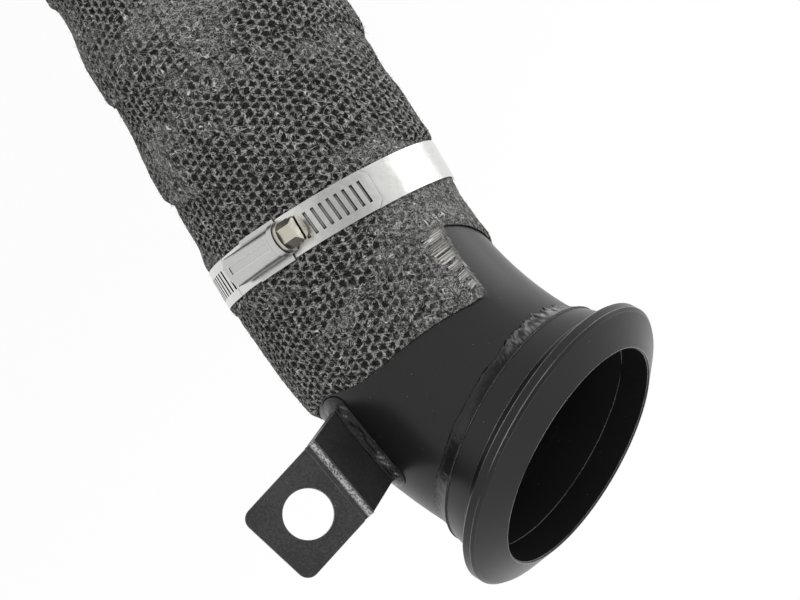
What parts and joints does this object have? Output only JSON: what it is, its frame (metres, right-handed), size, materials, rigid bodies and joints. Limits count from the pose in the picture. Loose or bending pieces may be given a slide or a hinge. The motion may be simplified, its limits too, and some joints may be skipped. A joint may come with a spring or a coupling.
{
  "type": "turbo downpipe",
  "caption": "Bent exhaust tube with a conical clamp flange for a turbo, a side bracket, heat wrap wound over most of its length and hose clamps that hold the wrap.",
  "frame": {"origin": "centre of the flange's mouth, in the plane of its front edge", "axes": "+Z out of the mouth towards the turbo, the tube runs towards -Z and bends towards -X, +Y completes the right-handed frame"},
  "size_m": [0.2789, 0.1345, 0.3637],
  "materials": {
    "coat": "satin black high-temperature coating on steel",
    "weld_bead": "rough coated weld bead",
    "wrap_cloth": "coarse woven basalt-fibre strip, fuzzy",
    "stainless": "bright stainless band",
    "nickel_plate": "nickel-tinted plated screw"
  },
  "bodies": {
    "root": {"downpipe_tube": "coat", "turbo_flange": "coat", "flange_weld": "weld_bead", "bracket": "coat", "bracket_weld": "weld_bead", "heat_wrap": "wrap_cloth", "clamp_1_band": "stainless", "clamp_1_housing": "stainless", "clamp_1_screw": "nickel_plate", "clamp_2_band": "stainless", "clamp_2_housing": "stainless", "clamp_2_screw": "nickel_plate"}
  },
  "joints": []
}
